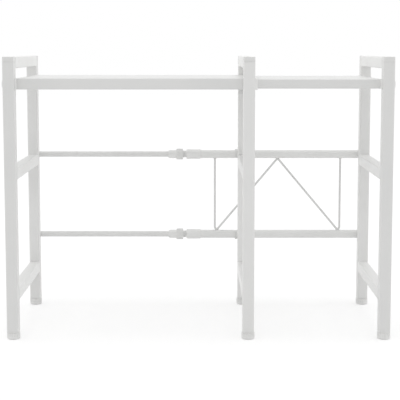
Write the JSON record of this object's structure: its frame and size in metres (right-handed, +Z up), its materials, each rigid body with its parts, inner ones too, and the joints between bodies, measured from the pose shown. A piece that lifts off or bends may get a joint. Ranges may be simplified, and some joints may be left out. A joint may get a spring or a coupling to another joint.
{
  "type": "microwave rack",
  "caption": "Free-standing extendable steel counter rack with ladder ends, a two part sliding shelf, telescoping rear rails with twist locks and a wire brace.",
  "frame": {"origin": "on the floor under the middle of the extended rack", "axes": "+X along the rack to the section that slides, +Y to the back, +Z up"},
  "size_m": [0.904, 0.3815, 0.662],
  "materials": {
    "white_powder_coat": "satin white powder coat",
    "white_plastic": "moulded white plastic",
    "zinc_plated_steel": "bright zinc plate"
  },
  "bodies": {
    "left_frame": {"left_front_post": "white_powder_coat", "left_rear_post": "white_powder_coat", "left_top_rung": "white_powder_coat", "left_middle_rung": "white_powder_coat", "left_lower_rung": "white_powder_coat", "middle_front_post": "white_powder_coat", "middle_rear_post": "white_powder_coat", "middle_top_rung": "white_powder_coat", "middle_middle_rung": "white_powder_coat", "middle_lower_rung": "white_powder_coat", "outer_post_caps": "white_plastic", "outer_foot_inserts": "white_plastic", "mouth_trim": "white_plastic", "outer_shelf": "white_powder_coat", "outer_end_plate": "white_powder_coat", "shelf_brackets": "white_powder_coat", "left_shelf_bolts": "white_powder_coat", "upper_rod": "white_powder_coat", "lower_rod": "white_powder_coat", "left_rail_brackets": "white_powder_coat", "rail_guides": "white_powder_coat", "upper_rod_bush": "white_plastic", "lower_rod_bush": "white_plastic", "shelf_bracket_screws": "zinc_plated_steel", "left_rail_screws": "zinc_plated_steel", "middle_rail_screws": "zinc_plated_steel"},
    "right_frame": {"right_front_post": "white_powder_coat", "right_rear_post": "white_powder_coat", "right_top_rung": "white_powder_coat", "right_middle_rung": "white_powder_coat", "right_lower_rung": "white_powder_coat", "inner_post_caps": "white_plastic", "inner_foot_inserts": "white_plastic", "shelf_glides": "white_plastic", "inner_shelf": "white_powder_coat", "inner_end_plate": "white_powder_coat", "right_shelf_bolts": "white_powder_coat", "upper_tube": "white_powder_coat", "lower_tube": "white_powder_coat", "right_rail_brackets": "white_powder_coat", "back_brace": "white_powder_coat", "upper_lock_sleeve": "white_plastic", "lower_lock_sleeve": "white_plastic", "right_rail_screws": "zinc_plated_steel"},
    "upper_collar": {"upper_lock_collar": "white_plastic"},
    "lower_collar": {"lower_lock_collar": "white_plastic"},
    "left_front_foot": {"left_front_foot": "white_plastic", "left_front_stud": "zinc_plated_steel"},
    "left_rear_foot": {"left_rear_foot": "white_plastic", "left_rear_stud": "zinc_plated_steel"},
    "middle_front_foot": {"middle_front_foot": "white_plastic", "middle_front_stud": "zinc_plated_steel"},
    "middle_rear_foot": {"middle_rear_foot": "white_plastic", "middle_rear_stud": "zinc_plated_steel"},
    "right_front_foot": {"right_front_foot": "white_plastic", "right_front_stud": "zinc_plated_steel"},
    "right_rear_foot": {"right_rear_foot": "white_plastic", "right_rear_stud": "zinc_plated_steel"}
  },
  "joints": [
    {"name": "shelf_extend", "type": "slide", "parent": "left_frame", "child": "right_frame", "axis": [1, 0, 0], "range_m": [-0.27, 0]},
    {"name": "upper_lock_turn", "type": "hinge", "parent": "right_frame", "child": "upper_collar", "pos_m": [-0.04, 0.17625, 0.4], "axis": [1, 0, 0], "range_deg": [0, 90]},
    {"name": "lower_lock_turn", "type": "hinge", "parent": "right_frame", "child": "lower_collar", "pos_m": [-0.04, 0.17625, 0.184], "axis": [1, 0, 0], "range_deg": [0, 90]},
    {"name": "left_front_foot_turn", "type": "hinge", "parent": "left_frame", "child": "left_front_foot", "pos_m": [-0.4365, -0.17525, 0], "axis": [0, 0, 1], "continuous": true},
    {"name": "left_rear_foot_turn", "type": "hinge", "parent": "left_frame", "child": "left_rear_foot", "pos_m": [-0.4365, 0.14775, 0], "axis": [0, 0, 1], "continuous": true},
    {"name": "middle_front_foot_turn", "type": "hinge", "parent": "left_frame", "child": "middle_front_foot", "pos_m": [0.1165, -0.17525, 0], "axis": [0, 0, 1], "continuous": true},
    {"name": "middle_rear_foot_turn", "type": "hinge", "parent": "left_frame", "child": "middle_rear_foot", "pos_m": [0.1165, 0.14775, 0], "axis": [0, 0, 1], "continuous": true},
    {"name": "right_front_foot_turn", "type": "hinge", "parent": "right_frame", "child": "right_front_foot", "pos_m": [0.4365, -0.17525, 0], "axis": [0, 0, 1], "continuous": true},
    {"name": "right_rear_foot_turn", "type": "hinge", "parent": "right_frame", "child": "right_rear_foot", "pos_m": [0.4365, 0.14775, 0], "axis": [0, 0, 1], "continuous": true}
  ]
}
